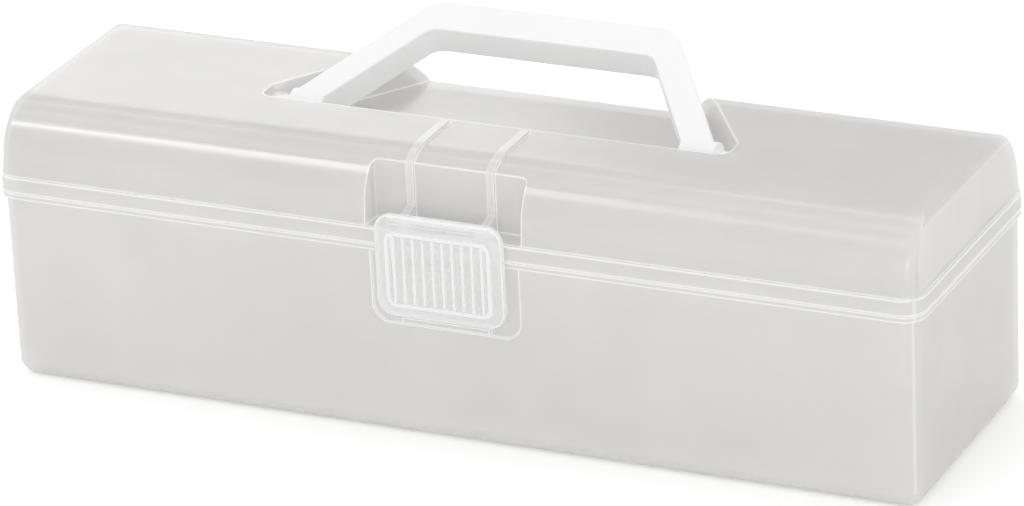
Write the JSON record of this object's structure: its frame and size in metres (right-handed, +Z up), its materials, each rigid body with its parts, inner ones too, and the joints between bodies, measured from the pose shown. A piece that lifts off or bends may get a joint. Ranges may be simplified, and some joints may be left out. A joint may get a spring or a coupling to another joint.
{
  "type": "art supply box",
  "caption": "Long frosted plastic carrying box with a hinged lid, a fold-down handle set into the lid and a front latch.",
  "frame": {"origin": "middle of the underside that the box stands on", "axes": "+X along the box's length, +Y towards the back with the hinges (the latch is on the -Y side), +Z up"},
  "size_m": [0.33, 0.1097, 0.1158],
  "materials": {
    "frosted_polypropylene": "frosted translucent moulded polypropylene, satin",
    "white_polypropylene": "opaque white moulded polypropylene, satin gloss",
    "clear_polypropylene": "clear moulded polypropylene with whitish edges, gloss",
    "natural_pin_plastic": "natural uncoloured plastic rod"
  },
  "bodies": {
    "tub": {"tub": "frosted_polypropylene", "hinge_pin_left": "natural_pin_plastic", "hinge_pin_right": "natural_pin_plastic"},
    "lid": {"lid": "frosted_polypropylene", "latch_pin": "natural_pin_plastic"},
    "handle": {"carry_handle": "white_polypropylene"},
    "latch": {"latch": "clear_polypropylene"}
  },
  "joints": [
    {"name": "lid_hinge", "type": "hinge", "parent": "tub", "child": "lid", "pos_m": [0, 0.0528, 0.068], "axis": [-1, 0, 0], "range_deg": [0, 110]},
    {"name": "handle_fold", "type": "hinge", "parent": "lid", "child": "handle", "pos_m": [0, 0.0006, 0.0912], "axis": [1, 0, 0], "range_deg": [-23.3, 98]},
    {"name": "latch_swing", "type": "hinge", "parent": "lid", "child": "latch", "pos_m": [0, -0.0458, 0.0759], "axis": [-1, 0, 0], "range_deg": [0, 84]}
  ]
}
